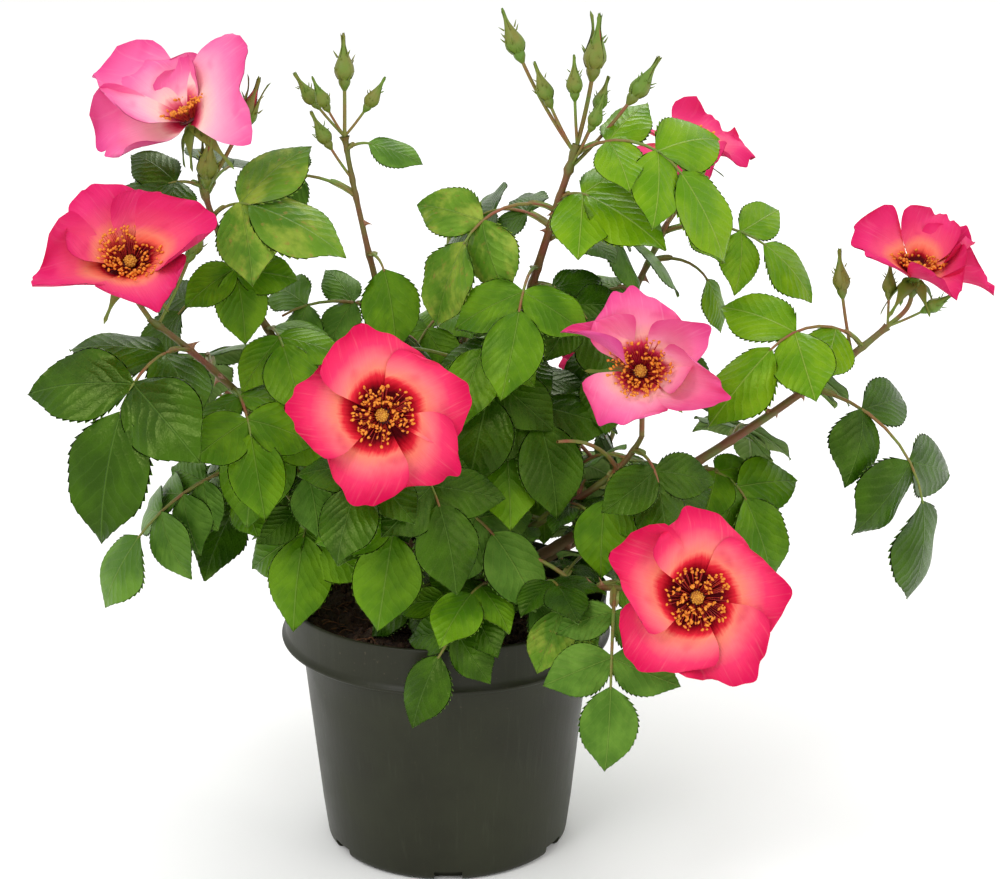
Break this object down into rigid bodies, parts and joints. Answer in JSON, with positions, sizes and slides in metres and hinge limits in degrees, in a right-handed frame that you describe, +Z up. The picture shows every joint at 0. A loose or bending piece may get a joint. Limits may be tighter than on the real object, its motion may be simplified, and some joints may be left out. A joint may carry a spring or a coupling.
{
  "type": "potted rose bush",
  "caption": "Young shrub rose with single pink blooms, buds and compound leaves on arching canes, in a round plastic nursery pot filled with compost.",
  "frame": {"origin": "centre of the pot's flat underside", "axes": "+Z up along the pot's axis; -Y towards the side of the bush with the most open blooms; +X to the right as seen from that side, towards the long arching cane"},
  "size_m": [0.4278, 0.2875, 0.3904],
  "materials": {
    "pot": "satin moulded plastic",
    "soil": "coarse fibrous compost",
    "union": "rough bark",
    "cane": "smooth green bark with thorns",
    "foliage": "semi-gloss leaves, satin petals"
  },
  "bodies": {
    "root": {"cane_back": "cane", "cane_back_left": "cane", "cane_back_low": "cane", "cane_back_right": "cane", "cane_buds_left": "cane", "cane_front_left": "cane", "cane_front_low": "cane", "cane_front_right": "cane", "cane_left": "cane", "cane_left_back": "cane", "cane_left_high": "cane", "cane_low_left": "cane", "cane_low_right": "cane", "cane_main": "cane", "cane_right_high": "cane", "cane_right_long": "cane", "cane_right_low": "cane", "graft_union": "union", "pot": "pot", "shoot_back": "foliage", "shoot_back_left": "foliage", "shoot_back_low": "foliage", "shoot_back_right": "foliage", "shoot_buds_left": "foliage", "shoot_front_left": "foliage", "shoot_front_low": "foliage", "shoot_front_right": "foliage", "shoot_left": "foliage", "shoot_left_back": "foliage", "shoot_left_high": "foliage", "shoot_low_left": "foliage", "shoot_low_right": "foliage", "shoot_main": "foliage", "shoot_right_high": "foliage", "shoot_right_long": "foliage", "shoot_right_low": "foliage", "soil": "soil"}
  },
  "joints": []
}
